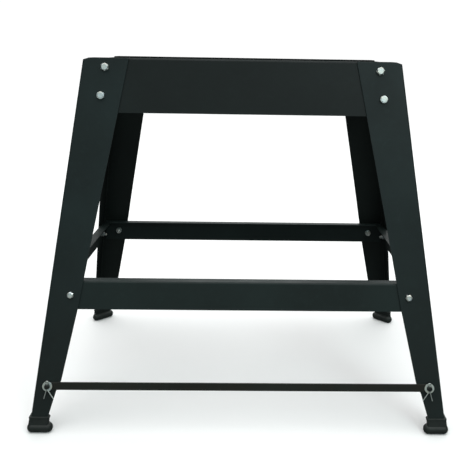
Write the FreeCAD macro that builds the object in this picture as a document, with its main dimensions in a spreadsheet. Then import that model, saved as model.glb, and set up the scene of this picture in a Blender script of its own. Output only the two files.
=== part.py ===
import FreeCAD, Part
import Sketcher
import math
import os

V = FreeCAD.Vector
Rot = FreeCAD.Rotation

# ---------------------------------------------------------------------------
# Open leg stand for a jointer: four splayed folded-sheet legs, four top rails,
# four stretchers, four rubber feet, a flat bar across the front and its two
# pins, all bolted up. Millimetres, origin at the centre of the floor under the
# stand, X across the width, -Y to the front, +Z up.
# ---------------------------------------------------------------------------
DIMS = [
    ("stand_height", 619.6, "floor to the seat for the machine"),
    ("top_half_width", 269.3, "fold line of a leg at the top, from the centre plane"),
    ("floor_half_width", 353.9, "fold line of a leg carried down to the floor"),
    ("top_half_depth", 133.5, "fold line of a leg at the top, front to back"),
    ("floor_half_depth", 256.4, "fold line of a leg carried down to the floor"),
    ("sheet", 2.0, "steel sheet of legs, rails and stretchers"),
    ("paint_gap", 0.05, "paint film between bolted sheets"),
    ("fold_radius", 3.6, "outside radius of every fold"),
    ("leg_bottom", 12.0, "lower end of a leg inside its foot"),
    ("leg_width_top", 76.9, "width of a leg face at the top"),
    ("leg_width_mid", 57.7, "width at the height of leg_mid"),
    ("leg_mid", 304.0, "height of the middle node of the leg edge"),
    ("leg_width_low", 52.5, "width at the height of leg_low"),
    ("leg_low", 208.0, "height where the edge starts to run in faster"),
    ("leg_width_knee", 41.9, "width at the height of leg_knee"),
    ("leg_knee", 86.0, "height of the knee, just above the front bar"),
    ("leg_width_bar", 35.8, "width at the height of leg_bar"),
    ("leg_bar", 68.0, "height just below the front bar"),
    ("leg_width_foot", 26.2, "width at the lower end"),
    ("corner_run", 9.5, "length of the clipped top corner"),
    ("corner_drop", 2.9, "depth of the clipped top corner, and of the side face"),
    ("rail_bottom", 529.2, "lower edge of the top rails"),
    ("side_drop", 3.8, "side rails stop this far below the seat"),
    ("rail_flange", 42.0, "top flange of a rail, outside to edge"),
    ("end_clear", 8.0, "rail and stretcher ends stop this far from the fold line"),
    ("stretcher_top", 250.5, "top of the stretchers"),
    ("stretcher_bottom", 204.0, "lower edge of the stretchers"),
    ("stretcher_flange", 18.0, "top flange of a stretcher"),
    ("bolt_inset", 39.3, "rail bolts from the fold line"),
    ("bolt_high", 604.2, "upper rail bolts"),
    ("bolt_low", 557.6, "lower rail bolts"),
    ("screw_inset", 37.0, "stretcher bolts from the fold line"),
    ("screw_height", 228.0, "stretcher bolts"),
    ("bolt_dia", 8.0, "rail bolt"),
    ("bolt_hole", 9.0, "hole for a rail bolt"),
    ("bolt_flats", 12.0, "across flats"),
    ("bolt_head", 5.3, "head height"),
    ("bolt_length", 16.0, "under the head"),
    ("nut_height", 6.5, "rail nut"),
    ("bolt_washer_dia", 15.0, "washer of a rail bolt"),
    ("bolt_washer", 1.6, "washer thickness"),
    ("screw_dia", 6.0, "stretcher bolt"),
    ("screw_hole", 7.0, "hole for a stretcher bolt"),
    ("screw_flats", 10.0, "across flats"),
    ("screw_head", 4.0, "head height"),
    ("screw_length", 16.0, "under the head"),
    ("screw_nut", 5.0, "stretcher nut"),
    ("screw_washer_dia", 12.5, "washer of a stretcher bolt"),
    ("screw_washer", 1.2, "washer thickness"),
    ("machine_hole", 9.0, "holes for the machine's own bolts"),
    ("machine_half_x", 205.0, "machine holes from the centre plane"),
    ("machine_half_y", 105.0, "machine holes front to back"),
    ("pin_inset", 21.5, "pins from the fold line"),
    ("pin_height", 78.4, "pins above the floor"),
    ("pin_dia", 8.0, "pin shank"),
    ("pin_hole", 8.16, "hole in leg and bar for a pin"),
    ("pin_head_dia", 12.0, "pin head inside the leg"),
    ("pin_head", 3.0, "pin head thickness"),
    ("pin_reach", 10.6, "pin end beyond the leg face"),
    ("bar_height", 12.4, "front bar"),
    ("bar_thick", 4.0, "front bar"),
    ("bar_past_pin", 8.0, "bar end beyond a pin"),
    ("pin_washer_dia", 16.4, "washer under a split pin"),
    ("pin_washer", 1.6, "washer thickness"),
    ("wire_dia", 1.6, "split pin wire"),
    ("cross_hole", 3.8, "cross hole of a pin"),
    ("foot_out", 4.3, "foot pad outside the fold line"),
    ("foot_in", 38.0, "foot pad in from the fold line"),
    ("foot_end", 9.6, "short end of the pad, where its slanting back starts"),
    ("foot_base_height", 15.0, "foot pad"),
    ("sleeve_out", 2.2, "sleeve outside the fold line"),
    ("sleeve_in", 31.2, "sleeve in from the fold line"),
    ("sleeve_end", 4.6, "short end of the sleeve"),
    ("foot_bead", 0.7, "bead round the mouth, out from the sleeve"),
    ("foot_height", 27.2, "mouth of a foot"),
    ("slot_width", 29.1, "slot for the leg, from the fold line"),
]

doc = FreeCAD.newDocument("open_leg_stand")
sheet = doc.addObject("Spreadsheet::Sheet", "dims")
for row, (alias, value, note) in enumerate(DIMS, start=1):
    sheet.set("A%d" % row, alias)
    sheet.set("B%d" % row, repr(value))
    sheet.set("C%d" % row, note)
    sheet.setAlias("B%d" % row, alias)
doc.recompute()


class Q:
    """A size: its value now and the sheet expression that drives it."""

    def __init__(self, value, text=None):
        self.v = float(value)
        self.e = text if text is not None else "(%r)" % float(value)

    def __add__(self, other):
        other = q(other)
        return Q(self.v + other.v, "(%s + %s)" % (self.e, other.e))

    def __sub__(self, other):
        other = q(other)
        return Q(self.v - other.v, "(%s - %s)" % (self.e, other.e))

    def __mul__(self, other):
        other = q(other)
        return Q(self.v * other.v, "(%s * %s)" % (self.e, other.e))

    def __truediv__(self, other):
        other = q(other)
        return Q(self.v / other.v, "(%s / %s)" % (self.e, other.e))

    def __radd__(self, other):
        return q(other) + self

    def __rsub__(self, other):
        return q(other) - self

    def __rmul__(self, other):
        return q(other) * self

    def __neg__(self):
        return Q(-self.v, "(0 - %s)" % self.e)


def q(x):
    return x if isinstance(x, Q) else Q(x)


def root(x):
    return Q(math.sqrt(x.v), "sqrt(%s)" % x.e)


D = {alias: Q(value, "dims." + alias) for alias, value, note in DIMS}
H = D["stand_height"]
T = D["sheet"]
GAP = D["paint_gap"]

run_x = D["floor_half_width"] - D["top_half_width"]
run_y = D["floor_half_depth"] - D["top_half_depth"]
stretch_x = root(q(1) + (run_x / H) * (run_x / H))
stretch_y = root(q(1) + (run_y / H) * (run_y / H))
# sheet thickness measured level, across a side face and across a front face
TX = T * stretch_x
TY = T * stretch_y
GX = GAP * stretch_x
GY = GAP * stretch_y


def half_x(z):
    return D["floor_half_width"] - run_x * q(z) / H


def half_y(z):
    return D["floor_half_depth"] - run_y * q(z) / H


SQUARE = Q(90, "(90 deg)")
LEAN_X = Q(math.degrees(math.atan(run_x.v / H.v)), "atan(%s)" % (run_x / H).e)
LEAN_Y = Q(math.degrees(math.atan(run_y.v / H.v)), "atan(%s)" % (run_y / H).e)

# ---------------------------------------------------------------------------
# helpers
# ---------------------------------------------------------------------------


def finish(obj, name):
    obj.Label = name
    return obj


def new_body(name):
    body = doc.addObject("PartDesign::Body", name)
    body.Label = name
    return body


def plane_of(body, role):
    for feature in body.Origin.OriginFeatures:
        if feature.Role == role:
            return feature
    raise RuntimeError("no plane " + role)


def new_sketch(body, name, role, offset=None, tilt=None):
    sk = body.newObject("Sketcher::SketchObject", name)
    sk.AttachmentSupport = [(plane_of(body, role), "")]
    sk.MapMode = "FlatFace"
    if offset is not None:
        sk.AttachmentOffset = FreeCAD.Placement(V(0, 0, offset.v), Rot())
        sk.setExpression("AttachmentOffset.Base.z", offset.e)
    return sk


def pin_point(sk, geo, pos, x, y, tag):
    """Fix one sketch point by two sheet-driven distances from the origin."""
    for kind, value, letter in (("DistanceX", x, "a"), ("DistanceY", y, "b")):
        if abs(value.v) < 1e-9 and value.e in ("(0.0)",):
            other = "PointOnObject"
            axis = -2 if kind == "DistanceX" else -1
            sk.addConstraint(Sketcher.Constraint(other, geo, pos, axis))
            continue
        if value.v < 0:
            idx = sk.addConstraint(Sketcher.Constraint(kind, geo, pos, -1, 1, -value.v))
            text = (-value).e
        else:
            idx = sk.addConstraint(Sketcher.Constraint(kind, -1, 1, geo, pos, value.v))
            text = value.e
        name = "%s%s" % (letter, tag)
        sk.renameConstraint(idx, name)
        sk.setExpression("Constraints." + name, text)


def polygon(sk, points, tag="p"):
    """Closed straight-sided outline; every corner is driven by the sheet."""
    first = sk.GeometryCount
    n = len(points)
    pts = [(q(x), q(y)) for x, y in points]
    for i in range(n):
        a = pts[i]
        b = pts[(i + 1) % n]
        sk.addGeometry(Part.LineSegment(V(a[0].v, a[1].v, 0), V(b[0].v, b[1].v, 0)), False)
    for i in range(n):
        sk.addConstraint(
            Sketcher.Constraint("Coincident", first + i, 2, first + (i + 1) % n, 1)
        )
    for i in range(n):
        pin_point(sk, first + i, 1, pts[i][0], pts[i][1], "%s%d" % (tag, i))


def circle(sk, x, y, dia, tag="c"):
    x, y, dia = q(x), q(y), q(dia)
    geo = sk.addGeometry(Part.Circle(V(x.v, y.v, 0), V(0, 0, 1), dia.v / 2), False)
    idx = sk.addConstraint(Sketcher.Constraint("Radius", geo, dia.v / 2))
    sk.renameConstraint(idx, "r" + tag)
    sk.setExpression("Constraints.r" + tag, (dia / 2).e)
    pin_point(sk, geo, 3, x, y, tag)
    return geo


def pad(body, sk, name, length, both=False, along=None):
    feat = body.newObject("PartDesign::Pad", name)
    feat.Profile = sk
    feat.Length = length.v
    feat.setExpression("Length", length.e)
    if both:
        feat.Midplane = True
    if along is not None:
        feat.UseCustomVector = True
        feat.Direction = V(along[0].v, along[1].v, along[2].v)
        for axis, part in zip("xyz", along):
            feat.setExpression("Direction." + axis, part.e)
        feat.AlongSketchNormal = True
    sk.Visibility = False
    doc.recompute()
    return feat


def pocket_all(body, sk, name):
    before = body.Shape.Volume
    feat = body.newObject("PartDesign::Pocket", name)
    feat.Profile = sk
    feat.Type = "ThroughAll"
    feat.Midplane = True
    doc.recompute()
    if not feat.Shape.Volume < before - 1e-3:
        raise RuntimeError("pocket %s removed nothing" % name)
    return feat


def pocket_depth(body, sk, name, depth, reverse=False):
    before = body.Shape.Volume
    feat = body.newObject("PartDesign::Pocket", name)
    feat.Profile = sk
    feat.Length = depth.v
    feat.setExpression("Length", depth.e)
    feat.Reversed = reverse
    doc.recompute()
    if not feat.Shape.Volume < before - 1e-3:
        raise RuntimeError("pocket %s removed nothing" % name)
    return feat


def fillet(body, base, name, radius, test):
    """Round the edges whose two end points both satisfy the test."""
    edges = []
    for i, edge in enumerate(base.Shape.Edges, start=1):
        ends = [v.Point for v in edge.Vertexes]
        if ends and test(edge, ends):
            edges.append("Edge%d" % i)
    if not edges:
        raise RuntimeError("fillet %s found no edge" % name)
    feat = body.newObject("PartDesign::Fillet", name)
    feat.Base = (base, edges)
    feat.Radius = radius.v
    feat.setExpression("Radius", radius.e)
    doc.recompute()
    return feat


def place(obj, base, axis, angle):
    """Placement driven by the sheet: base point and one rotation."""
    base = [q(b) for b in base]
    obj.Placement = FreeCAD.Placement(
        V(base[0].v, base[1].v, base[2].v), Rot(axis, angle.v)
    )
    for letter, part in zip("xyz", base):
        obj.setExpression("Placement.Base." + letter, part.e)
    obj.setExpression("Placement.Rotation.Angle", angle.e)


# A face of the stand: 'front' and 'rear' lean in Y, 'left' and 'right' in X.
# seat() stands local +Z on the outward normal of that face, at a point given
# by its height and its distance in from the fold line.
FACES = {
    "front": (0, -1),
    "rear": (0, 1),
    "left": (-1, 0),
    "right": (1, 0),
}


def seat(obj, face, side, inset, height):
    fx, fy = FACES[face]
    if fy:
        base = (side * (half_x(height) - inset), fy * half_y(height), height)
        axis = V(1, 0, 0)
        angle = (SQUARE - LEAN_Y) * (-fy)
    else:
        base = (fx * half_x(height), side * (half_y(height) - inset), height)
        axis = V(0, 1, 0)
        angle = (SQUARE - LEAN_X) * fx
    place(obj, base, axis, angle)


def drill(name, dia, face, side, inset, height):
    cyl = doc.addObject("Part::Cylinder", name)
    cyl.Radius = dia.v / 2
    cyl.setExpression("Radius", (dia / 2).e)
    cyl.Height = 24.0
    # the drill is a cylinder centred on the face: shifted by half its length
    fx, fy = FACES[face]
    sink = q(12)
    if fy:
        n = (q(0), q(fy) / stretch_y, (run_y / H) / stretch_y)
        base = (side * (half_x(height) - inset), fy * half_y(height), q(height))
        axis = V(1, 0, 0)
        angle = (SQUARE - LEAN_Y) * (-fy)
    else:
        n = (q(fx) / stretch_x, q(0), (run_x / H) / stretch_x)
        base = (fx * half_x(height), side * (half_y(height) - inset), q(height))
        axis = V(0, 1, 0)
        angle = (SQUARE - LEAN_X) * fx
    base = tuple(b - sink * c for b, c in zip(base, n))
    place(cyl, base, axis, angle)
    return cyl


def cut(name, base, tools):
    doc.recompute()
    before = base.Shape.Volume
    joined = doc.addObject("Part::Compound", name + "_tools")
    joined.Links = tools
    feat = doc.addObject("Part::Cut", name)
    feat.Base = base
    feat.Tool = joined
    feat.Label = name
    doc.recompute()
    if not feat.Shape.Volume < before - 1e-3:
        raise RuntimeError("cut %s removed nothing" % name)
    return feat


NODES = []

# ---------------------------------------------------------------------------
# legs
# ---------------------------------------------------------------------------


def fold_direction(sx, sy):
    return (-sx * run_x / H, -sy * run_y / H, q(1))


def angle_prism(body, name, sx, sy, z0, z1, width, tx, ty, out=None):
    """L section drawn level at z0 and run along the fold line up to z1."""
    out = q(0) if out is None else out
    sk = new_sketch(body, name + "_section", "XY_Plane", z0)
    ax, by = half_x(z0), half_y(z0)
    uv = [
        (-out, -out),
        (width, -out),
        (width, ty + out),
        (tx + out, ty + out),
        (tx + out, width),
        (-out, width),
    ]
    polygon(sk, [(sx * (ax - u), sy * (by - v)) for u, v in uv])
    return pad(body, sk, name + "_run", z1 - z0, along=fold_direction(sx, sy))


def leg(name, sx, sy):
    body = new_body(name + "_sheet")
    z0 = D["leg_bottom"]
    run = angle_prism(body, name, sx, sy, z0, H, D["leg_width_top"] + 3, TX, TY)
    nodes = [
        (H, D["leg_width_top"]),
        (D["leg_mid"], D["leg_width_mid"]),
        (D["leg_low"], D["leg_width_low"]),
        (D["leg_knee"], D["leg_width_knee"]),
        (D["leg_bar"], D["leg_width_bar"]),
        (z0, D["leg_width_foot"]),
    ]
    # the free edge of the front or rear face
    sk = new_sketch(body, name + "_edge_x", "XZ_Plane")
    pts = [(sx * (half_x(H) - nodes[0][1]), H + 5)]
    pts += [(sx * (half_x(z) - w), z) for z, w in nodes]
    pts += [(sx * (half_x(z0) - nodes[-1][1]), z0 - 5)]
    pts += [(q(sx * 100), z0 - 5), (q(sx * 100), H + 5)]
    polygon(sk, pts)
    pocket_all(body, sk, name + "_trim_x")
    # the free edge of the side face
    sk = new_sketch(body, name + "_edge_y", "YZ_Plane")
    pts = [(sy * (half_y(H) - nodes[0][1]), H + 5)]
    pts += [(sy * (half_y(z) - w), z) for z, w in nodes]
    pts += [(sy * (half_y(z0) - nodes[-1][1]), z0 - 5)]
    pts += [(q(sy * 40), z0 - 5), (q(sy * 40), H + 5)]
    polygon(sk, pts)
    last = pocket_all(body, sk, name + "_trim_y")

    def on_fold(inset_x, inset_y):
        def test(edge, ends):
            return len(ends) == 2 and all(
                abs(p.x - sx * (half_x(q(p.z)).v - inset_x)) < 0.02
                and abs(p.y - sy * (half_y(q(p.z)).v - inset_y)) < 0.02
                for p in ends
            ) and abs(ends[0].z - ends[1].z) > 100
        return test

    last = fillet(body, last, name + "_fold_out", D["fold_radius"], on_fold(0, 0))
    last = fillet(
        body, last, name + "_fold_in", D["fold_radius"] - T, on_fold(TX.v, TY.v)
    )
    # clipped top corner: one sloping cut that also lowers the side face's top
    clip = doc.addObject("Part::Box", name + "_clip")
    clip.Length = 40
    clip.Width = 110
    clip.Height = 20
    lean = Q(
        math.degrees(math.atan(D["corner_drop"].v / D["corner_run"].v)),
        "atan(%s / %s)" % (D["corner_drop"].e, D["corner_run"].e),
    )
    start = (sx * (half_x(H) - D["corner_run"]), sy * (half_y(H) - 45), H)
    shift = Rot(V(0, 1, 0), sx * lean.v).multVec(V(-40 if sx < 0 else 0, -55, 0))
    place(
        clip,
        (start[0] + shift.x, start[1] + shift.y, start[2] + shift.z),
        V(0, 1, 0),
        lean * sx,
    )
    face_x = "front" if sy < 0 else "rear"
    face_y = "left" if sx < 0 else "right"
    tools = [clip]
    for i, (face, side) in enumerate(((face_x, sx), (face_y, sy))):
        tools.append(drill("%s_d%d1" % (name, i), D["bolt_hole"], face, side, D["bolt_inset"], D["bolt_high"]))
        tools.append(drill("%s_d%d2" % (name, i), D["bolt_hole"], face, side, D["bolt_inset"], D["bolt_low"]))
        tools.append(drill("%s_d%d3" % (name, i), D["screw_hole"], face, side, D["screw_inset"], D["screw_height"]))
    if sy < 0:
        tools.append(drill(name + "_pin", D["pin_hole"], "front", sx, D["pin_inset"], D["pin_height"]))
    NODES.append(cut(name, body, tools))


LEGS = [
    ("leg_front_left", -1, -1),
    ("leg_front_right", 1, -1),
    ("leg_rear_left", -1, 1),
    ("leg_rear_right", 1, 1),
]
for name, sx, sy in LEGS:
    leg(name, sx, sy)

# ---------------------------------------------------------------------------
# top rails and stretchers: a leaning web with its top edge turned in
# ---------------------------------------------------------------------------


def turned_channel(name, face, z0, z1, flange, holes, notch, machine_holes=False):
    fx, fy = FACES[face]
    body = new_body(name + "_sheet")
    if fy:
        sk = new_sketch(body, name + "_section", "YZ_Plane")
        half, lean_t, lean_g, s = half_y, TY, GY, fy
        along_half, side_t = half_x, TX
    else:
        sk = new_sketch(body, name + "_section", "XZ_Plane")
        half, lean_t, lean_g, s = half_x, TX, GX, fx
        along_half, side_t = half_y, TY
    outer = lean_t + lean_g
    inner = lean_t * 2 + lean_g
    zf = z1 - T
    polygon(
        sk,
        [
            (s * (half(z0) - outer), z0),
            (s * (half(z1) - outer), z1),
            (s * (half(z1) - outer - flange), z1),
            (s * (half(z1) - outer - flange), zf),
            (s * (half(zf) - inner), zf),
            (s * (half(z0) - inner), z0),
        ],
    )
    last = pad(body, sk, name + "_run", along_half(z0) * 2, both=True)
    # slanted ends, parallel with the fold lines of the legs
    sk = new_sketch(body, name + "_ends", "XZ_Plane" if fy else "YZ_Plane")
    clear = D["end_clear"]
    far = along_half(z0) + 40
    for k, e in enumerate((-1, 1)):
        polygon(
            sk,
            [
                (e * (along_half(z0 - 5) - clear), z0 - 5),
                (e * (along_half(z1 + 5) - clear), z1 + 5),
                (e * far, z1 + 5),
                (e * far, z0 - 5),
            ],
            "e%d" % k,
        )
    last = pocket_all(body, sk, name + "_end_cut")
    if notch is not None:
        # the flange stops short of the flanges it meets at the corners
        sk = new_sketch(body, name + "_notch", "XY_Plane")
        stop = along_half(z1) - notch
        near = half(z1) - inner - 0.01
        deep = half(z1) - outer - flange - 5
        far = along_half(z1) + 20
        for k, e in enumerate((-1, 1)):
            quad = [
                (s * near, e * stop),
                (s * deep, e * stop),
                (s * deep, e * far),
                (s * near, e * far),
            ]
            polygon(sk, quad, "n%d" % k)
        last = pocket_all(body, sk, name + "_notch_cut")
    if machine_holes:
        sk = new_sketch(body, name + "_machine", "XY_Plane")
        circle(sk, -D["machine_half_x"], s * D["machine_half_y"], D["machine_hole"], "m0")
        circle(sk, D["machine_half_x"], s * D["machine_half_y"], D["machine_hole"], "m1")
        last = pocket_all(body, sk, name + "_machine_cut")

    def fold(u, z):
        def test(edge, ends):
            if len(ends) != 2:
                return False
            for p in ends:
                c = p.y if fy else p.x
                if abs(c - s * u) > 0.03 or abs(p.z - z) > 0.03:
                    return False
            return True
        return test

    last = fillet(body, last, name + "_fold_out", D["fold_radius"], fold(half(z1).v - outer.v, z1.v))
    last = fillet(body, last, name + "_fold_in", D["fold_radius"] - T, fold(half(zf).v - inner.v, zf.v))
    tools = []
    for i, (dia, inset, height) in enumerate(holes):
        for k, side in enumerate((-1, 1)):
            tools.append(drill("%s_h%d%d" % (name, i, k), dia, face, side, inset, height))
    NODES.append(cut(name, body, tools))


RAIL_HOLES = [
    (D["bolt_hole"], D["bolt_inset"], D["bolt_high"]),
    (D["bolt_hole"], D["bolt_inset"], D["bolt_low"]),
]
STRETCHER_HOLES = [(D["screw_hole"], D["screw_inset"], D["screw_height"])]
for face in ("front", "rear", "left", "right"):
    long_one = face in ("front", "rear")
    turned_channel(
        "rail_" + face, face, D["rail_bottom"], H if long_one else H - D["side_drop"],
        D["rail_flange"], RAIL_HOLES,
        None if long_one else D["rail_flange"] + TY + GY + 1.5,
        long_one,
    )
    turned_channel(
        "stretcher_" + face, face, D["stretcher_bottom"], D["stretcher_top"],
        D["stretcher_flange"], STRETCHER_HOLES,
        None if long_one else D["stretcher_flange"] + TY + GY + 1.5,
    )

# ---------------------------------------------------------------------------
# rubber feet: a level pad, a sleeve that follows the leg, a bead at its mouth
# ---------------------------------------------------------------------------


def wedge(sk, sx, sy, z, out, reach, end):
    """Square corner with a slanting back, drawn inward from the fold line."""
    ax, by = half_x(z), half_y(z)
    uv = [(-out, -out), (reach, -out), (reach, end), (end, reach), (-out, reach)]
    polygon(sk, [(sx * (ax - u), sy * (by - v)) for u, v in uv])


def foot(name, sx, sy):
    body = new_body(name + "_rubber")

    def upright(z0, z1):
        def test(edge, ends):
            low, high = sorted(p.z for p in ends) if len(ends) == 2 else (0, 0)
            return abs(low - z0.v) < 1e-4 and abs(high - z1.v) < 1e-4
        return test

    def level(z):
        return lambda edge, ends: all(abs(p.z - z.v) < 1e-4 for p in ends)

    zp = D["foot_base_height"]
    sk = new_sketch(body, name + "_pad_section", "XY_Plane")
    wedge(sk, sx, sy, zp / 2, D["foot_out"], D["foot_in"], D["foot_end"])
    last = pad(body, sk, name + "_pad", zp)
    last = fillet(body, last, name + "_pad_corners", q(9.0), upright(q(0), zp))
    last = fillet(body, last, name + "_pad_low", q(6.5), level(q(0)))
    last = fillet(body, last, name + "_pad_high", q(7.8), level(zp))
    sides = fold_direction(sx, sy)
    z1 = D["foot_height"]
    z0 = q(10.3)
    sk = new_sketch(body, name + "_sleeve_section", "XY_Plane", z0)
    wedge(sk, sx, sy, z0, D["sleeve_out"], D["sleeve_in"], D["sleeve_end"])
    last = pad(body, sk, name + "_sleeve", z1 - z0, along=sides)
    last = fillet(
        body, last, name + "_sleeve_corners", q(2.4),
        lambda edge, ends: len(ends) == 2
        and max(p.z for p in ends) > z1.v - 1e-4
        and min(p.z for p in ends) < z1.v - 5,
    )
    zr = z1 - 2.6
    bead = D["foot_bead"]
    sk = new_sketch(body, name + "_rim_section", "XY_Plane", zr)
    wedge(sk, sx, sy, zr, D["sleeve_out"] + bead, D["sleeve_in"] + bead, D["sleeve_end"] + bead)
    last = pad(body, sk, name + "_rim", z1 - zr, along=sides)
    last = fillet(body, last, name + "_rim_corners", q(3.0), upright(zr, z1))
    last = fillet(body, last, name + "_rim_round", q(0.9), level(z1))
    slot = new_body(name + "_slot")
    out = q(0.12)
    run = angle_prism(
        slot, name + "_slot", sx, sy, D["leg_bottom"] - 0.1, z1 + 6,
        D["slot_width"], TX, TY, out,
    )
    # the inner corner follows the inside of the leg's fold, as far from it as the rest
    fillet(
        slot, run, name + "_slot_fold", D["fold_radius"] - T - out,
        lambda edge, ends: len(ends) == 2 and all(
            abs(p.x - sx * (half_x(q(p.z)).v - TX.v - out.v)) < 0.02
            and abs(p.y - sy * (half_y(q(p.z)).v - TY.v - out.v)) < 0.02
            for p in ends
        ) and abs(ends[0].z - ends[1].z) > 5,
    )
    NODES.append(cut(name, body, [slot]))


for name, sx, sy in LEGS:
    foot(name.replace("leg", "foot"), sx, sy)

# ---------------------------------------------------------------------------
# front bar, its pins, washers and split pins
# ---------------------------------------------------------------------------
pin_x = half_x(D["pin_height"]) - D["pin_inset"]
bar = new_body("front_bar")
sk = new_sketch(bar, "front_bar_outline", "XY_Plane", GAP)
bar_half = pin_x + D["bar_past_pin"]
hb = D["bar_height"] / 2
clip_c = q(2)
polygon(
    sk,
    [
        (-bar_half + clip_c, -hb), (bar_half - clip_c, -hb),
        (bar_half, -hb + clip_c), (bar_half, hb - clip_c),
        (bar_half - clip_c, hb), (-bar_half + clip_c, hb),
        (-bar_half, hb - clip_c), (-bar_half, -hb + clip_c),
    ],
)
circle(sk, -pin_x, 0, D["pin_hole"], "h0")
circle(sk, pin_x, 0, D["pin_hole"], "h1")
last = pad(bar, sk, "front_bar_pad", D["bar_thick"])
last = fillet(
    bar, last, "front_bar_edges", q(0.5),
    lambda edge, ends: len(ends) == 2
    and all(abs(p.z - GAP.v - D["bar_thick"].v) < 1e-6 for p in ends)
    and abs(abs(ends[0].y) - hb.v) < 1e-6
    and abs(ends[0].y - ends[1].y) < 1e-6,
)
place(
    bar,
    (q(0), -half_y(D["pin_height"]), D["pin_height"]),
    V(1, 0, 0),
    SQUARE - LEAN_Y,
)
NODES.append(bar)

wire_level = GAP * 2 + D["bar_thick"] + D["pin_washer"] + 0.15 + D["wire_dia"] / 2


def clevis_pin(name, sx):
    body = new_body(name + "_turned")
    sk = new_sketch(body, name + "_profile", "XZ_Plane")
    r = D["pin_dia"] / 2
    low = -(T + GAP)
    polygon(
        sk,
        [
            (q(0), low - D["pin_head"]),
            (D["pin_head_dia"] / 2 - 0.6, low - D["pin_head"]),
            (D["pin_head_dia"] / 2, low - D["pin_head"] + 0.6),
            (D["pin_head_dia"] / 2, low),
            (r, low),
            (r, D["pin_reach"] - 0.9),
            (r - 0.9, D["pin_reach"]),
            (q(0), D["pin_reach"]),
        ],
    )
    rev = body.newObject("PartDesign::Revolution", name + "_revolve")
    rev.Profile = sk
    rev.ReferenceAxis = (sk, ["V_Axis"])
    rev.Angle = 360.0
    doc.recompute()
    hole = doc.addObject("Part::Cylinder", name + "_cross")
    hole.Radius = D["cross_hole"].v / 2
    hole.setExpression("Radius", (D["cross_hole"] / 2).e)
    hole.Height = 30
    hole.Placement = FreeCAD.Placement(V(0, 15, wire_level.v), Rot(V(1, 0, 0), 90))
    hole.setExpression("Placement.Base.z", wire_level.e)
    obj = cut(name, body, [hole])
    seat(obj, "front", sx, D["pin_inset"], D["pin_height"])
    NODES.append(obj)


def ring(name, outer, inner, z0, thick, face=None, sx=1):
    body = new_body(name)
    sk = new_sketch(body, name + "_outline", "XY_Plane", z0)
    circle(sk, 0, 0, outer, "o")
    circle(sk, 0, 0, inner, "i")
    last = pad(body, sk, name + "_pad", thick)
    fillet(
        body, last, name + "_round", q(0.25),
        lambda edge, ends: abs(edge.Curve.Radius - outer.v / 2) < 1e-6
        if hasattr(edge.Curve, "Radius") else False,
    )
    return body


def split_pin(name, sx):
    """Bent wire: an eye above the pin, two legs through it, spread below."""
    spine = doc.addObject("Sketcher::SketchObject", name + "_spine")
    g = (D["wire_dia"] / 2).v + 0.06
    er = 2.3
    ey = 6.7
    # eye: three-quarter loop whose ends run down into the two legs
    drop = math.sqrt(er * er - g * g)
    a0 = math.atan2(-drop, g)
    a1 = math.atan2(-drop, -g)
    join = ey - drop
    low = -4.3
    # one leg springs out further than the other, towards the middle of the bar
    if sx < 0:
        tips = ((10.9, -20.1), (-5.0, -20.2))
        bends = (0.9, 0.35)
    else:
        tips = ((5.0, -20.6), (-11.4, -20.8))
        bends = (0.35, 0.9)
    start = (g + bends[0], low - 2.3)
    stop = (-g - bends[1], low - 2.3)
    loop = Part.Circle(V(0, ey, 0), V(0, 0, 1), er)
    run = [tips[0], start, (g, low), (g, join)]
    for a, b in zip(run, run[1:]):
        spine.addGeometry(Part.LineSegment(V(a[0], a[1], 0), V(b[0], b[1], 0)), False)
    spine.addGeometry(Part.ArcOfCircle(loop, a0, a1 + 2 * math.pi), False)
    run = [(-g, join), (-g, low), stop, tips[1]]
    for a, b in zip(run, run[1:]):
        spine.addGeometry(Part.LineSegment(V(a[0], a[1], 0), V(b[0], b[1], 0)), False)
    tip_a, mid_a = tips[0], start
    doc.recompute()
    section = doc.addObject("Part::Circle", name + "_wire")
    section.Radius = D["wire_dia"].v / 2
    section.setExpression("Radius", (D["wire_dia"] / 2).e)
    direction = V(mid_a[0] - tip_a[0], mid_a[1] - tip_a[1], 0)
    section.Placement = FreeCAD.Placement(V(tip_a[0], tip_a[1], 0), Rot(V(0, 0, 1), direction))
    doc.recompute()
    sweep = doc.addObject("Part::Sweep", name + "_sweep")
    sweep.Sections = [section]
    sweep.Spine = (spine, ["Edge%d" % i for i in range(1, len(spine.Shape.Edges) + 1)])
    sweep.Solid = True
    sweep.Frenet = False
    sweep.Transition = "Round corner"
    doc.recompute()
    return sweep


for name, sx in (("left", -1), ("right", 1)):
    clevis_pin("pin_" + name, sx)
    w = ring(
        "pin_washer_" + name, D["pin_washer_dia"], D["pin_dia"] + 0.9,
        GAP * 2 + D["bar_thick"], D["pin_washer"],
    )
    seat(w, "front", sx, D["pin_inset"], D["pin_height"])
    NODES.append(w)
    s = split_pin("split_pin_" + name, sx)
    s.Label = "split_pin_" + name
    # the wire's plane stands wire_level off the leg face, along its normal
    ny = -1 * wire_level / stretch_y
    nz = (run_y / H) / stretch_y * wire_level
    place(
        s,
        (sx * pin_x, -half_y(D["pin_height"]) + ny, D["pin_height"] + nz),
        V(1, 0, 0),
        SQUARE - LEAN_Y,
    )
    NODES.append(s)

# ---------------------------------------------------------------------------
# bolts, washers and nuts: masters placed in groups
# ---------------------------------------------------------------------------
grip = T * 2 + GAP * 2


def hexagon(sk, flats, tag, turn=0.0):
    r = flats / Q(math.sqrt(3), "sqrt(3)")
    pts = []
    for i in range(6):
        a = math.radians(60 * i + turn)
        pts.append((r * Q(math.cos(a)), r * Q(math.sin(a))))
    polygon(sk, pts, tag)


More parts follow.
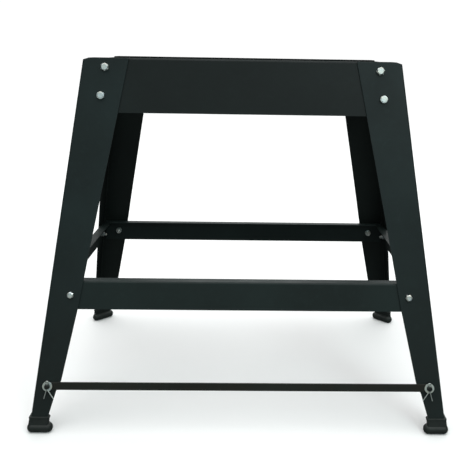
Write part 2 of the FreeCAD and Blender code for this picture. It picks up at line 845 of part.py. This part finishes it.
def bolt(name, dia, flats, head, length, dish, turn=30.0):
    body = new_body(name)
    sk = new_sketch(body, name + "_hex", "XY_Plane")
    hexagon(sk, flats, "x", turn)
    pad(body, sk, name + "_head", head)
    # the corners of the head are turned off to a wide chamfer
    sk = new_sketch(body, name + "_turn", "XZ_Plane")
    far = flats * 0.7
    rc = flats * 0.38
    polygon(sk, [(rc, head + 0.5), (rc, head), (far, head - (far - rc) * 0.55), (far, head + 0.5)])
    groove = body.newObject("PartDesign::Groove", name + "_turned")
    groove.Profile = sk
    groove.ReferenceAxis = (sk, ["V_Axis"])
    groove.Angle = 360.0
    doc.recompute()
    if dish:
        sk = new_sketch(body, name + "_dish", "XY_Plane", head)
        circle(sk, 0, 0, flats * 0.62, "d")
        pocket_depth(body, sk, name + "_dished", q(0.7))
    sk = new_sketch(body, name + "_shank_profile", "XZ_Plane")
    r = dia / 2
    polygon(sk, [(q(0), q(1)), (r, q(1)), (r, -length + 0.8), (r - 0.8, -length), (q(0), -length)])
    rev = body.newObject("PartDesign::Revolution", name + "_shank")
    rev.Profile = sk
    rev.ReferenceAxis = (sk, ["V_Axis"])
    rev.Angle = 360.0
    doc.recompute()
    return body


def nut(name, dia, flats, height, level):
    body = new_body(name)
    sk = new_sketch(body, name + "_hex", "XY_Plane", level)
    hexagon(sk, flats, "x", 0.0)
    circle(sk, 0, 0, dia + 0.1, "b")
    feat = pad(body, sk, name + "_pad", height)
    feat.Reversed = True
    doc.recompute()
    sk = new_sketch(body, name + "_turn", "XZ_Plane")
    far = flats * 0.7
    rc = flats * 0.485
    low = level - height
    polygon(sk, [(rc, low - 0.5), (rc, low), (far, low + (far - rc) * 0.55), (far, low - 0.5)])
    groove = body.newObject("PartDesign::Groove", name + "_turned")
    groove.Profile = sk
    groove.ReferenceAxis = (sk, ["V_Axis"])
    groove.Angle = 360.0
    doc.recompute()
    return body


m8_bolt = bolt("master_rail_bolt", D["bolt_dia"], D["bolt_flats"], D["bolt_head"], D["bolt_length"], False)
m8_bolt_turned = bolt("master_rail_bolt_turned", D["bolt_dia"], D["bolt_flats"], D["bolt_head"], D["bolt_length"], False, 14.0)
m8_washer = ring("master_rail_washer", D["bolt_washer_dia"], D["bolt_dia"] + 0.4, -grip - D["bolt_washer"], D["bolt_washer"])
m8_nut = nut("master_rail_nut", D["bolt_dia"], D["bolt_flats"], D["nut_height"], -grip - D["bolt_washer"] - GAP)
m6_bolt = bolt("master_stretcher_bolt", D["screw_dia"], D["screw_flats"], D["screw_head"], D["screw_length"], True)
m6_bolt_turned = bolt("master_stretcher_bolt_turned", D["screw_dia"], D["screw_flats"], D["screw_head"], D["screw_length"], True, 8.0)
m6_washer = ring("master_stretcher_washer", D["screw_washer_dia"], D["screw_dia"] + 0.4, -grip - D["screw_washer"], D["screw_washer"])
m6_nut = nut("master_stretcher_nut", D["screw_dia"], D["screw_flats"], D["screw_nut"], -grip - D["screw_washer"] - GAP)


def group(name, master, face, spots, other=None):
    """Copies of one master; the other one, turned, goes on the +side spots."""
    links = []
    for i, (side, inset, height) in enumerate(spots):
        link = doc.addObject("App::Link", "%s_%d" % (name, i + 1))
        link.LinkedObject = other if other is not None and side > 0 else master
        seat(link, face, side, inset, height)
        links.append(link)
    obj = doc.addObject("Part::Compound", name)
    obj.Links = links
    obj.Label = name
    NODES.append(obj)


for face in ("front", "rear", "left", "right"):
    rail_spots = [
        (side, D["bolt_inset"], height)
        for side in (-1, 1)
        for height in (D["bolt_high"], D["bolt_low"])
    ]
    low_spots = [(side, D["screw_inset"], D["screw_height"]) for side in (-1, 1)]
    group("rail_bolts_" + face, m8_bolt, face, rail_spots, m8_bolt_turned)
    group("rail_washers_" + face, m8_washer, face, rail_spots)
    group("rail_nuts_" + face, m8_nut, face, rail_spots)
    group("stretcher_bolts_" + face, m6_bolt, face, low_spots, m6_bolt_turned)
    group("stretcher_washers_" + face, m6_washer, face, low_spots)
    group("stretcher_nuts_" + face, m6_nut, face, low_spots)

# ---------------------------------------------------------------------------
# checks, then one file for each piece
# ---------------------------------------------------------------------------
doc.recompute()
for obj in doc.Objects:
    bad = [s for s in obj.State if s in ("Invalid", "Error")]
    if bad:
        raise RuntimeError("%s is %s" % (obj.Label, bad))
os.makedirs("parts", exist_ok=True)
seen = set()
for obj in NODES:
    shape = obj.Shape
    if shape.isNull() or not shape.isValid() or not shape.Solids:
        raise RuntimeError("%s has no valid shape" % obj.Label)
    if obj.Label in seen:
        raise RuntimeError("%s is used twice" % obj.Label)
    seen.add(obj.Label)
    shape.exportStep("parts/%s.step" % obj.Label)
    box = shape.BoundBox
    print(
        "%-26s solids %d  volume %9.1f  x %7.1f %7.1f  y %7.1f %7.1f  z %6.1f %6.1f"
        % (obj.Label, len(shape.Solids), shape.Volume, box.XMin, box.XMax, box.YMin, box.YMax, box.ZMin, box.ZMax)
    )
print("nodes", len(NODES))
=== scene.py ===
import math

import bmesh
import bpy
import numpy as np
from mathutils import Matrix, Vector


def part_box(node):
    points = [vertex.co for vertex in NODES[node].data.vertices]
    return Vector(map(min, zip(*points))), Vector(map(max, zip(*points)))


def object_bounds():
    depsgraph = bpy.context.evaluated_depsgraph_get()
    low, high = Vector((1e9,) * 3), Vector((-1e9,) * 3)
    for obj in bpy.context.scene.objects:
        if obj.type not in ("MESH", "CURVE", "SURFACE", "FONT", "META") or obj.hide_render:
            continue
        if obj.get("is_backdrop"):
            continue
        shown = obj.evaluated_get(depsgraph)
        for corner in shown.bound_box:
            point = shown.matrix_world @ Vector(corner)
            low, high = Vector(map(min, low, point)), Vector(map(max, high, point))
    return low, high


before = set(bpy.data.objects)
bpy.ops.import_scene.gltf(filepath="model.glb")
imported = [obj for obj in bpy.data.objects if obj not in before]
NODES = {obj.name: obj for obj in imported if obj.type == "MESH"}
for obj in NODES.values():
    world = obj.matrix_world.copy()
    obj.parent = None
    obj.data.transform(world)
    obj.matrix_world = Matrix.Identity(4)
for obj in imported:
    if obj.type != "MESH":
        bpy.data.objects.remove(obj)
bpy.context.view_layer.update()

scene = bpy.context.scene
FACES = ("front", "rear", "left", "right")
CORNERS = ("front_left", "front_right", "rear_left", "rear_right")


# --------------------------------------------------------------------------
# camera
# --------------------------------------------------------------------------
def make_camera():
    eye = Vector((0.01613, -1.28727, 0.63823))
    yaw, pitch, roll = 0.0219, -0.2037, 0.0165
    focal_px, off_x, off_y, width_px = 672.31, 28.35, -47.0, 475.0
    fwd = Vector((math.sin(yaw) * math.cos(pitch), math.cos(yaw) * math.cos(pitch), math.sin(pitch)))
    right = Vector((math.cos(yaw), -math.sin(yaw), 0.0))
    up = right.cross(fwd)
    r2 = math.cos(roll) * right + math.sin(roll) * up
    u2 = -math.sin(roll) * right + math.cos(roll) * up
    data = bpy.data.cameras.new("camera")
    data.sensor_fit = "HORIZONTAL"
    data.sensor_width = 36.0
    data.lens = focal_px / width_px * 36.0
    data.shift_x = -off_x / width_px
    data.shift_y = off_y / width_px
    data.clip_start, data.clip_end = 0.05, 60.0
    cam = bpy.data.objects.new("camera", data)
    scene.collection.objects.link(cam)
    m = Matrix((r2, u2, -fwd)).transposed().to_4x4()
    m.translation = eye
    cam.matrix_world = m
    scene.camera = cam


make_camera()


# --------------------------------------------------------------------------
# node helpers
# --------------------------------------------------------------------------
class Tree:
    def __init__(self, name):
        self.mat = bpy.data.materials.new(name)
        self.mat.use_nodes = True
        self.t = self.mat.node_tree
        self.t.nodes.clear()
        self.out = self.node("ShaderNodeOutputMaterial")
        self.bsdf = self.node("ShaderNodeBsdfPrincipled")
        self.link(self.bsdf.outputs[0], self.out.inputs["Surface"])
        self.coord = self.node("ShaderNodeTexCoord").outputs["Object"]

    def node(self, kind, **props):
        n = self.t.nodes.new(kind)
        for k, v in props.items():
            setattr(n, k, v)
        return n

    def link(self, a, b):
        self.t.links.new(a, b)

    def put(self, socket, value):
        if isinstance(value, bpy.types.NodeSocket):
            self.link(value, socket)
        else:
            socket.default_value = value

    def scaled(self, x, y, z, source=None):
        n = self.node("ShaderNodeMapping", vector_type="POINT")
        self.link(source or self.coord, n.inputs["Vector"])
        n.inputs["Scale"].default_value = (x, y, z)
        return n.outputs[0]

    def noise(self, scale, detail=3.0, rough=0.5, source=None, distortion=0.0):
        n = self.node("ShaderNodeTexNoise")
        self.link(source or self.coord, n.inputs["Vector"])
        n.inputs["Scale"].default_value = scale
        n.inputs["Detail"].default_value = detail
        n.inputs["Roughness"].default_value = rough
        n.inputs["Distortion"].default_value = distortion
        return n.outputs[0]

    def cells(self, scale, feature="F1", source=None, smooth=None):
        n = self.node("ShaderNodeTexVoronoi", feature=feature)
        self.link(source or self.coord, n.inputs["Vector"])
        n.inputs["Scale"].default_value = scale
        return n.outputs["Distance"]

    def ramp(self, fac, stops, mode="LINEAR"):
        n = self.node("ShaderNodeValToRGB")
        self.link(fac, n.inputs["Fac"])
        n.color_ramp.interpolation = mode
        e = n.color_ramp.elements
        while len(e) < len(stops):
            e.new(0.5)
        for item, (pos, col) in zip(e, stops):
            item.position = pos
            item.color = (*col, 1.0) if isinstance(col, tuple) else (col, col, col, 1.0)
        return n.outputs["Color"]

    def math(self, op, a, b=0.0, clamp=False):
        n = self.node("ShaderNodeMath", operation=op, use_clamp=clamp)
        self.put(n.inputs[0], a)
        self.put(n.inputs[1], b)
        return n.outputs[0]

    def mix(self, fac, a, b, blend="MIX"):
        n = self.node("ShaderNodeMix", data_type="RGBA", blend_type=blend)
        self.put(n.inputs[0], fac)
        for socket, value in ((n.inputs[6], a), (n.inputs[7], b)):
            if isinstance(value, tuple):
                value = (*value, 1.0)
            self.put(socket, value)
        return n.outputs[2]

    def span(self, value, lo, hi, out_lo=0.0, out_hi=1.0):
        n = self.node("ShaderNodeMapRange", clamp=True)
        self.link(value, n.inputs["Value"])
        n.inputs["From Min"].default_value = lo
        n.inputs["From Max"].default_value = hi
        n.inputs["To Min"].default_value = out_lo
        n.inputs["To Max"].default_value = out_hi
        return n.outputs["Result"]

    def edges(self, radius, sharp=6.0):
        """1 on a sharp outer or inner edge, 0 on a flat face."""
        bevel = self.node("ShaderNodeBevel", samples=6)
        bevel.inputs["Radius"].default_value = radius
        geo = self.node("ShaderNodeNewGeometry")
        dot = self.node("ShaderNodeVectorMath", operation="DOT_PRODUCT")
        self.link(bevel.outputs[0], dot.inputs[0])
        self.link(geo.outputs["Normal"], dot.inputs[1])
        return self.math("MULTIPLY", self.math("SUBTRACT", 1.0, dot.outputs["Value"]), sharp, clamp=True)

    def bump(self, layers, radius=None):
        """layers: (height socket, distance in metres, strength)."""
        normal = None
        if radius:
            bevel = self.node("ShaderNodeBevel", samples=6)
            bevel.inputs["Radius"].default_value = radius
            normal = bevel.outputs[0]
        for height, distance, strength in layers:
            n = self.node("ShaderNodeBump")
            n.inputs["Strength"].default_value = strength
            n.inputs["Distance"].default_value = distance
            self.link(height, n.inputs["Height"])
            if normal:
                self.link(normal, n.inputs["Normal"])
            normal = n.outputs[0]
        self.link(normal, self.bsdf.inputs["Normal"])


# --------------------------------------------------------------------------
# materials
# --------------------------------------------------------------------------
def black_paint(name, base=(0.0088, 0.0190, 0.0200), along=(1.0, 1.0, 1.0), warm=0.0, matt_top=0.0, floor_warm_light_tint=0.0):
    """Satin black powder coat on folded sheet: fine orange peel, slow cloudy
    colour, a thin paler line painted along the edges as a highlight, faint
    handling marks, a little dust on what faces up and a warmer tint painted
    towards the floor in place of warm light from below."""
    t = Tree(name)
    p = t.bsdf.inputs
    cloud = t.noise(7.0, 4.0, 0.55)
    fine = t.noise(85.0, 3.0, 0.6)
    dark = tuple(c * 0.80 for c in base)
    light = tuple(c * 1.22 for c in base)
    colour = t.mix(t.span(cloud, 0.32, 0.68), dark, light)
    colour = t.mix(t.math("MULTIPLY", t.span(fine, 0.52, 0.75), 0.35), colour, tuple(c * 1.5 for c in base))
    if warm:
        colour = t.mix(t.math("MULTIPLY", t.span(t.noise(26.0, 4.0, 0.6), 0.4, 0.62), warm), colour, (0.017, 0.0145, 0.0105))
    # painted light: towards the floor the colour is pulled, in patches, to a warmer neutral that stands in for warm
    # light from below
    if floor_warm_light_tint:
        place = t.node("ShaderNodeSeparateXYZ")
        t.link(t.coord, place.inputs[0])
        low = t.span(place.outputs["Z"], 0.10, 0.35, floor_warm_light_tint, 0.0)
        patch = t.span(t.noise(34.0, 4.0, 0.6), 0.30, 0.62, 0.65, 1.0)
        colour = t.mix(t.math("MULTIPLY", low, patch), colour, (0.0150, 0.0150, 0.0125))
    # scuffs: short pale strokes, sparse
    stroke = t.noise(150.0, 2.0, 0.5, source=t.scaled(along[0], along[1], along[2]))
    where = t.noise(9.0, 1.0, 0.5)
    scuff = t.math("MULTIPLY", t.span(stroke, 0.66, 0.80), t.span(where, 0.58, 0.72))
    colour = t.mix(t.math("MULTIPLY", scuff, 0.30), colour, (0.050, 0.060, 0.060))
    # dust on upward faces
    geo = t.node("ShaderNodeNewGeometry")
    split = t.node("ShaderNodeSeparateXYZ")
    t.link(geo.outputs["Normal"], split.inputs[0])
    top = t.span(split.outputs["Z"], 0.55, 0.98)
    dust = t.math("MULTIPLY", top, t.span(t.noise(38.0, 5.0, 0.65), 0.40, 0.78, 0.0, 0.20))
    colour = t.mix(dust, colour, (0.045, 0.052, 0.050))
    # edges: a thin paler line painted along them as a highlight (made a little glossier too), and sparse pale chips
    # where the coat is worn through
    rim = t.edges(0.0011, 5.0)
    edge_highlight = t.math("MULTIPLY", rim, t.span(t.noise(210.0, 4.0, 0.6), 0.36, 0.62, 0.15, 1.0))
    colour = t.mix(t.math("MULTIPLY", edge_highlight, 0.55), colour, (0.022, 0.034, 0.035))
    chips = t.math("MULTIPLY", rim, t.span(t.noise(330.0, 3.0, 0.7), 0.685, 0.72))
    colour = t.mix(t.math("MULTIPLY", chips, 0.65), colour, (0.20, 0.20, 0.19))
    t.link(colour, p["Base Color"])
    rough = t.span(t.noise(16.0, 4.0, 0.6), 0.3, 0.7, 0.42, 0.52)
    rough = t.math("ADD", rough, t.math("MULTIPLY", scuff, 0.14))
    rough = t.math("ADD", rough, t.math("MULTIPLY", dust, 0.35))
    if matt_top:
        rough = t.math("ADD", rough, t.math("MULTIPLY", top, matt_top), clamp=True)
    rough = t.math("SUBTRACT", rough, t.math("MULTIPLY", edge_highlight, 0.06))
    t.link(rough, p["Roughness"])
    p["Specular IOR Level"].default_value = 0.24
    t.bump(
        [
            (t.noise(620.0, 2.0, 0.45), 0.00006, 0.55),
            (t.noise(1900.0, 1.0, 0.5), 0.00002, 0.45),
            (t.noise(11.0, 2.0, 0.4), 0.0004, 0.12),
        ],
        radius=0.0004,
    )
    return t.mat


def rubber():
    """Moulded black rubber: sooty colour, a paler line painted along the edges as a highlight,
    fine grain, dust worked into the lower edge."""
    t = Tree("foot_rubber")
    p = t.bsdf.inputs
    cloud = t.noise(42.0, 5.0, 0.6)
    colour = t.mix(t.span(cloud, 0.3, 0.7), (0.0080, 0.0112, 0.0100), (0.0165, 0.0215, 0.0190))
    speck = t.span(t.noise(780.0, 3.0, 0.7), 0.66, 0.74)
    colour = t.mix(t.math("MULTIPLY", speck, 0.35), colour, (0.050, 0.052, 0.048))
    split = t.node("ShaderNodeSeparateXYZ")
    t.link(t.coord, split.inputs[0])
    low = t.span(split.outputs["Z"], 0.0, 0.010, 1.0, 0.0)
    dirt = t.math("MULTIPLY", low, t.span(t.noise(130.0, 4.0, 0.7), 0.40, 0.66))
    colour = t.mix(t.math("MULTIPLY", dirt, 0.45), colour, (0.060, 0.056, 0.048))
    # painted highlight: a paler line along the moulded edges, which are also made a little smoother
    rim = t.edges(0.0016, 3.0)
    colour = t.mix(t.math("MULTIPLY", rim, 0.45), colour, (0.034, 0.042, 0.041))
    t.link(colour, p["Base Color"])
    rough = t.span(t.noise(70.0, 4.0, 0.6), 0.3, 0.7, 0.50, 0.66)
    rough = t.math("SUBTRACT", rough, t.math("MULTIPLY", rim, 0.12))
    t.link(rough, p["Roughness"])
    p["Specular IOR Level"].default_value = 0.36
    t.bump(
        [
            (t.noise(1500.0, 2.0, 0.6), 0.00005, 0.6),
            (t.noise(240.0, 3.0, 0.5), 0.00014, 0.35),
        ],
        radius=0.0008,
    )
    return t.mat


def zinc(name, tone=(0.65, 0.665, 0.65), rough_lo=0.24, rough_hi=0.38, thread=None):
    """Bright zinc plate: faint blue-grey and straw clouding, brushed turning
    marks, dull grime in patches, painted shade darkening the corners where
    parts meet (made duller there too) and a paler line along the edges."""
    t = Tree(name)
    p = t.bsdf.inputs
    warm = (tone[0] * 1.04, tone[1] * 0.99, tone[2] * 0.90)
    cool = (tone[0] * 0.90, tone[1] * 0.98, tone[2] * 1.05)
    colour = t.mix(t.span(t.noise(160.0, 4.0, 0.6), 0.34, 0.66), cool, warm)
    grime = t.span(t.noise(420.0, 4.0, 0.65), 0.55, 0.78)
    colour = t.mix(t.math("MULTIPLY", grime, 0.40), colour, (0.16, 0.16, 0.145))
    # painted shade: the colour is darkened wherever ambient occlusion finds another surface within 3 mm, in corners
    # and where parts meet; those places are also made rougher
    ao = t.node("ShaderNodeAmbientOcclusion", samples=6, only_local=False)
    ao.inputs["Distance"].default_value = 0.003
    corner_shade_and_dulling = t.span(ao.outputs["AO"], 0.25, 0.85, 1.0, 0.0)
    colour = t.mix(t.math("MULTIPLY", corner_shade_and_dulling, 0.55), colour, (0.050, 0.050, 0.044))
    rim = t.edges(0.0004, 5.0)
    colour = t.mix(t.math("MULTIPLY", rim, 0.45), colour, (0.72, 0.74, 0.73))
    t.link(colour, p["Base Color"])
    p["Metallic"].default_value = 0.93
    rough = t.span(t.noise(300.0, 5.0, 0.7), 0.3, 0.7, rough_lo, rough_hi)
    rough = t.math("ADD", rough, t.math("MULTIPLY", corner_shade_and_dulling, 0.25))
    t.link(rough, p["Roughness"])
    layers = [
        (t.noise(2600.0, 3.0, 0.6), 0.00002, 0.5),
        (t.noise(700.0, 2.0, 0.5), 0.00003, 0.35),
    ]
    if thread:
        # a 1.25 mm thread on the shank, which is all that lies behind the face
        outward, level = thread
        dot = t.node("ShaderNodeVectorMath", operation="DOT_PRODUCT")
        t.link(t.coord, dot.inputs[0])
        dot.inputs[1].default_value = outward
        along = dot.outputs["Value"]
        turn = t.math("SINE", t.math("MULTIPLY", along, 2.0 * math.pi / 0.00125))
        ridge = t.math("MULTIPLY", t.span(turn, -1.0, 1.0), t.span(along, level - 0.0005, level - 0.0002, 1.0, 0.0))
        layers.append((ridge, 0.0005, 1.0))
    t.bump(layers, radius=0.00025)
    return t.mat


def wire():
    t = Tree("split_pin_wire")
    p = t.bsdf.inputs
    colour = t.mix(t.span(t.noise(260.0, 4.0, 0.6), 0.34, 0.66), (0.50, 0.53, 0.50), (0.66, 0.69, 0.66))
    marks = t.span(t.noise(900.0, 3.0, 0.7), 0.60, 0.74)
    colour = t.mix(t.math("MULTIPLY", marks, 0.45), colour, (0.14, 0.135, 0.12))
    t.link(colour, p["Base Color"])
    p["Metallic"].default_value = 0.92
    t.link(t.span(t.noise(500.0, 4.0, 0.6), 0.3, 0.7, 0.30, 0.46), p["Roughness"])
    t.bump([(t.noise(1800.0, 3.0, 0.6), 0.00002, 0.5)])
    return t.mat


def black_oxide():
    t = Tree("pin_black_oxide")
    p = t.bsdf.inputs
    colour = t.mix(t.span(t.noise(190.0, 4.0, 0.6), 0.34, 0.66), (0.014, 0.017, 0.016), (0.034, 0.038, 0.034))
    rim = t.edges(0.0006, 5.0)
    worn = t.math("MULTIPLY", rim, t.span(t.noise(800.0, 3.0, 0.6), 0.40, 0.62))
    colour = t.mix(t.math("MULTIPLY", worn, 0.6), colour, (0.22, 0.23, 0.22))
    t.link(colour, p["Base Color"])
    p["Metallic"].default_value = 0.75
    t.link(t.span(t.noise(600.0, 4.0, 0.6), 0.3, 0.7, 0.34, 0.50), p["Roughness"])
    t.bump([(t.noise(1500.0, 3.0, 0.6), 0.00003, 0.5)], radius=0.0004)
    return t.mat


# Lit and shaded copies of one paint: paint_leg and paint_rail carry the lit colour, while the darker bases given to
# the rear legs, the front and rear seat rails, the side seat rails and the side stretchers are painted shade.
paint_leg = black_paint("paint_leg", base=(0.0096, 0.0176, 0.0176), along=(1.0, 1.0, 0.12), matt_top=0.4, floor_warm_light_tint=0.40)
paint_rear_shaded = black_paint("paint_rear_shaded", base=(0.0076, 0.0112, 0.0100), along=(1.0, 1.0, 0.12), matt_top=0.4)
paint_seat_shaded = black_paint("paint_seat_shaded", base=(0.0058, 0.0098, 0.0094), along=(0.12, 1.0, 1.0), matt_top=0.5)
paint_seat_side_shaded = black_paint("paint_seat_side_shaded", base=(0.0064, 0.0110, 0.0106), along=(1.0, 0.12, 1.0), matt_top=0.5)
paint_rail = black_paint("paint_rail", base=(0.0100, 0.0176, 0.0166), along=(0.12, 1.0, 1.0))
paint_side_shaded = black_paint("paint_side_shaded", base=(0.0070, 0.0118, 0.0108), along=(1.0, 0.12, 1.0))
paint_bar = black_paint("paint_bar", base=(0.0135, 0.0155, 0.0125), along=(0.08, 1.0, 1.0), warm=0.55)
mat_rubber = rubber()
mat_zinc = zinc("bolt_zinc")
mat_washer = zinc("washer_zinc", tone=(0.56, 0.60, 0.58), rough_lo=0.34, rough_hi=0.50)
mat_pin_washer = zinc("pin_washer_zinc", tone=(0.75, 0.78, 0.74), rough_lo=0.30, rough_hi=0.44)
mat_wire = wire()
mat_oxide = black_oxide()


def face_plane(face):
    """Outward normal of one leaning face of the stand, and how far the plane
    lies along it, read from the middles of its upper and lower fasteners."""
    axis = 1 if face in ("front", "rear") else 0
    side = -1.0 if face in ("front", "left") else 1.0

    def middle(node):
        lo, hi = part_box(node)
        return lo[axis] if side < 0 else hi[axis], 0.5 * (lo[2] + hi[2])

    a, za = middle("rail_washers_" + face)
    b, zb = middle("stretcher_washers_" + face)
    slope = abs(b - a) / (za - zb)
    n = Vector((0.0, 0.0, slope))
    n[axis] = side
    n.normalize()
    mesh = NODES["leg_front_left" if side < 0 else "leg_rear_right"].data
    level = max(v.co.dot(n) for v in mesh.vertices)
    return n, level


def assign(node, mat):
    o = NODES[node]
    if not o.data.materials:
        o.data.materials.append(mat)
    for s in o.material_slots:
        s.material = mat


for c in CORNERS:
    assign("leg_" + c, paint_leg if c.startswith("front") else paint_rear_shaded)
    assign("foot_" + c, mat_rubber)
for f in FACES:
    assign("rail_" + f, paint_seat_side_shaded if f in ("left", "right") else paint_seat_shaded)
    assign("stretcher_" + f, paint_side_shaded if f in ("left", "right") else paint_rail)
    outward, level = face_plane(f)
    threaded = zinc("bolt_zinc_" + f, thread=(outward, level))
    for kind in ("rail_bolts_", "stretcher_bolts_"):
        assign(kind + f, threaded)
    for kind in ("rail_nuts_", "stretcher_nuts_"):
        assign(kind + f, mat_zinc)
    for kind in ("rail_washers_", "stretcher_washers_"):
        assign(kind + f, mat_washer)
assign("front_bar", paint_bar)
for s in ("left", "right"):
    assign("pin_" + s, mat_oxide)
    assign("pin_washer_" + s, mat_pin_washer)
    assign("split_pin_" + s, mat_wire)


# --------------------------------------------------------------------------
# floor, world and light
# --------------------------------------------------------------------------
def make_floor():
    lo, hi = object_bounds()
    bm = bmesh.new()
    n, far = 40, 14.0
    rows = [[bm.verts.new((x, y, 0.0)) for x in np.linspace(-far, far, n)] for y in np.linspace(-far, far, n)]
    for a, b in zip(rows, rows[1:]):
        for i in range(n - 1):
            bm.faces.new((a[i], a[i + 1], b[i + 1], b[i]))
    mesh = bpy.data.meshes.new("floor")
    bm.to_mesh(mesh)
    bm.free()
    floor = bpy.data.objects.new("floor", mesh)
    scene.collection.objects.link(floor)
    floor.location.z = lo.z - 0.0002
    t = Tree("floor_pale")
    colour = t.mix(t.span(t.noise(1.3, 3.0, 0.5), 0.3, 0.7), (0.86, 0.865, 0.86), (0.90, 0.90, 0.895))
    t.link(colour, t.bsdf.inputs["Base Color"])
    t.bsdf.inputs["Roughness"].default_value = 0.85
    t.bsdf.inputs["Specular IOR Level"].default_value = 0.1
    mesh.materials.append(t.mat)
    floor.visible_glossy = False
    floor.visible_diffuse = False
    floor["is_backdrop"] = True
    return floor


floor = make_floor()


def make_world():
    world = bpy.data.worlds.new("studio")
    scene.world = world
    world.use_nodes = True
    t = world.node_tree
    t.nodes.clear()
    out = t.nodes.new("ShaderNodeOutputWorld")
    seen = t.nodes.new("ShaderNodeBackground")
    seen.inputs["Color"].default_value = (1.0, 1.0, 1.0, 1.0)
    seen.inputs["Strength"].default_value = 1.05
    felt = t.nodes.new("ShaderNodeBackground")
    felt.inputs["Color"].default_value = (0.90, 1.0, 1.0, 1.0)
    felt.inputs["Strength"].default_value = 0.17
    path = t.nodes.new("ShaderNodeLightPath")
    mix = t.nodes.new("ShaderNodeMixShader")
    t.links.new(path.outputs["Is Camera Ray"], mix.inputs[0])
    t.links.new(felt.outputs[0], mix.inputs[1])
    t.links.new(seen.outputs[0], mix.inputs[2])
    t.links.new(mix.outputs[0], out.inputs["Surface"])


make_world()


def area(name, place, aim, size, power, colour=(1.0, 1.0, 1.0)):
    data = bpy.data.lights.new(name, "AREA")
    data.shape = "RECTANGLE"
    data.size, data.size_y = size
    data.energy = power
    data.color = colour
    o = bpy.data.objects.new(name, data)
    scene.collection.objects.link(o)
    o.location = place
    o.rotation_mode = "QUATERNION"
    o.rotation_quaternion = (Vector(aim) - Vector(place)).to_track_quat("-Z", "Y")
    return o


area("front_left", (-0.95, -3.2, 1.15), (-0.3, 0.0, 0.45), (1.8, 2.1), 7.4, (0.84, 1.0, 0.97))
area("front_right", (0.95, -3.2, 1.15), (0.3, 0.0, 0.45), (1.8, 2.1), 8.0, (0.84, 1.0, 0.97))
area("key", (1.62, -2.75, 2.25), (0.2, 0.0, 0.5), (1.0, 1.0), 21.0, (0.84, 1.0, 1.0))
area("back", (0.3, 3.0, 1.8), (0.0, 0.0, 0.3), (2.6, 1.4), 12.0)

sun = bpy.data.objects.new("overhead", bpy.data.lights.new("overhead", "SUN"))
sun.data.energy = 3.5
sun.data.angle = math.radians(110.0)
sun.rotation_euler = (math.radians(-8.0), 0.0, 0.0)
scene.collection.objects.link(sun)

scene.view_settings.view_transform = "Standard"
scene.view_settings.look = "None"
scene.view_settings.exposure = 0.0
scene.view_settings.gamma = 1.0
